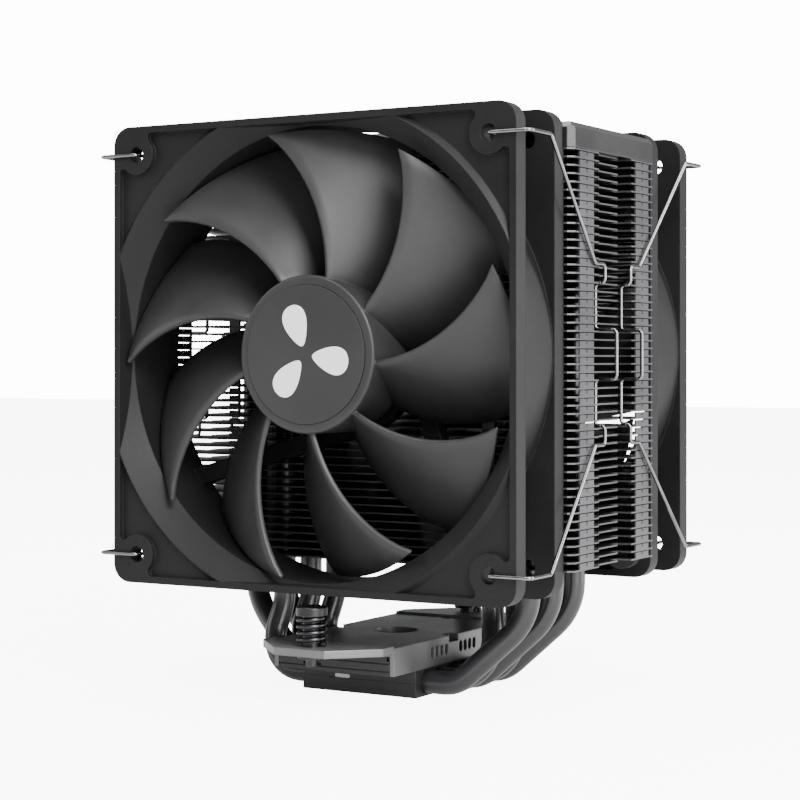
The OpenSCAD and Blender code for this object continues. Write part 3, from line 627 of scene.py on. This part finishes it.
def makeBlade(fanFront):
    deselectAll()
    alongSteps, acrossSteps = rotor["bladeGrid"]
    bpy.ops.mesh.primitive_grid_add(x_subdivisions=alongSteps, y_subdivisions=acrossSteps, size=1)
    blade = bpy.context.object
    for vertex in blade.data.vertices:
        x, y, z = bladePoint(vertex.co.x + 0.5, vertex.co.y + 0.5)
        vertex.co = (x, fanFront + y, z)
    applyModifier(blade, "SOLIDIFY", thickness=rotor["bladeThick"] * mm, offset=0)
    pickFaces(blade, lambda face: True)
    bpy.ops.mesh.normals_make_consistent(inside=False)
    bpy.ops.object.mode_set(mode="OBJECT")
    applyModifier(blade, "BEVEL", width=rotor["bladeEdge"] * mm, segments=2, limit_method="ANGLE",
                  angle_limit=radians(rotor["bladeSharp"]))
    return blade


def makeRotor(fanFront, name):
    centre = (0, fanFront, rotor["axisHeight"] * mm)
    blades = []
    for index in range(rotor["blades"]):
        if index == 0:
            blade = makeBlade(0)
        else:
            selectOnly(blades[0])
            bpy.ops.object.duplicate()
            blade = bpy.context.object
        blades.append(blade)
    for index, blade in enumerate(blades):
        blade.rotation_euler = (0, radians(-360 / rotor["blades"] * index), 0)
        blade.location = centre
    piece = joinPieces([makeHub(fanFront)] + blades, name)
    settle(piece, 40)
    piece.data.materials.clear()
    piece.data.materials.append(finishes["bladePlastic"])
    return piece


# printed mark on the hub label: three plain petals
hubMark = {"petals": 3, "reach": 7.6, "long": 5.4, "wide": 3.3, "pinch": 0.42, "thick": 0.04, "turn": 20.0,
           "labelRise": 0.2, "printRise": 0.01, "sides": 48}


def makeHubMark(fanFront, name):
    face = fanFront + (rotor["hubFront"] - hubMark["labelRise"]) * mm
    petals = []
    for index in range(hubMark["petals"]):
        angle = radians(90 + hubMark["turn"] + index * 360 / hubMark["petals"])
        deselectAll()
        bpy.ops.mesh.primitive_circle_add(vertices=hubMark["sides"], radius=mm, fill_type="NGON")
        petal = bpy.context.object
        for vertex in petal.data.vertices:
            x, y = vertex.co.x / mm, vertex.co.y / mm
            pinch = 1 + hubMark["pinch"] * x
            vertex.co = ((hubMark["reach"] + hubMark["long"] * x) * mm, 0, hubMark["wide"] * y * pinch * mm)
        petal.rotation_euler = (0, -angle, 0)
        petal.location = (0, face - hubMark["printRise"] * mm, rotor["axisHeight"] * mm)
        applyModifier(petal, "SOLIDIFY", thickness=hubMark["thick"] * mm, offset=0)
        petals.append(petal)
    mark = joinPieces(petals, name)
    settle(mark, 30)
    mark.data.materials.append(finishes["hubMarkPrint"])
    return mark


# springs under the two screw caps
coil = {"outer": 7.8, "wire": 1.15, "foot": 15.0, "length": 7.8, "turns": 4, "wireSides": 14, "turnSteps": 32,
        "endTrim": 0.02, "screwLine": 40.7}


def makeSpring(yCentre, name):
    # round wire swept up by the screw modifier, each end flattened to sit square
    radius = coil["wire"] / 2 * mm
    rise = (coil["length"] - coil["wire"]) * mm
    deselectAll()
    bpy.ops.mesh.primitive_circle_add(
        vertices=coil["wireSides"], radius=radius, fill_type="NOTHING", rotation=(pi / 2, 0, 0),
        location=((coil["outer"] / 2) * mm - radius, 0, 0))
    spring = bpy.context.object
    bpy.ops.object.transform_apply(location=True, rotation=True, scale=True)
    steps = coil["turnSteps"] * coil["turns"]
    applyModifier(spring, "SCREW", angle=2 * pi * coil["turns"], screw_offset=rise, steps=steps,
                  render_steps=steps, use_normal_calculate=True)
    selectOnly(spring)
    bpy.ops.object.mode_set(mode="EDIT")
    bpy.ops.mesh.select_mode(type="EDGE")
    bpy.ops.mesh.select_all(action="DESELECT")
    bpy.ops.mesh.select_non_manifold()
    bpy.ops.mesh.edge_face_add()
    bpy.ops.object.mode_set(mode="OBJECT")
    low, high = coil["foot"] * mm, (coil["foot"] + coil["length"]) * mm
    trim = coil["endTrim"] * mm
    for vertex in spring.data.vertices:
        vertex.co.y += yCentre
        vertex.co.z = min(max(vertex.co.z + low + radius, low + trim), high - trim)
    spring.name = name
    settle(spring, 60)
    spring.data.materials.append(finishes["springSteel"])
    return spring


setCamera()
buildShaderGroups()
setStudio()
dressCadNodes()

fanFronts = {"front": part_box("front_frame")[0][1], "rear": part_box("rear_frame")[0][1]}
for side, fanFront in fanFronts.items():
    turning = makeRotor(fanFront, side + "Rotor")
    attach(turning, side + "_impeller")
    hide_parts(side + "_rotor")
    mark = makeHubMark(fanFront, side + "HubMark")
    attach(mark, side + "_impeller")
print("rotors done")

for side, sign in (("front", -1), ("rear", 1)):
    spring = makeSpring(sign * coil["screwLine"] * mm, side + "Spring")
    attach(spring, "heatsink")
    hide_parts("spring_" + side)
    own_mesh(spring)
print("springs done")
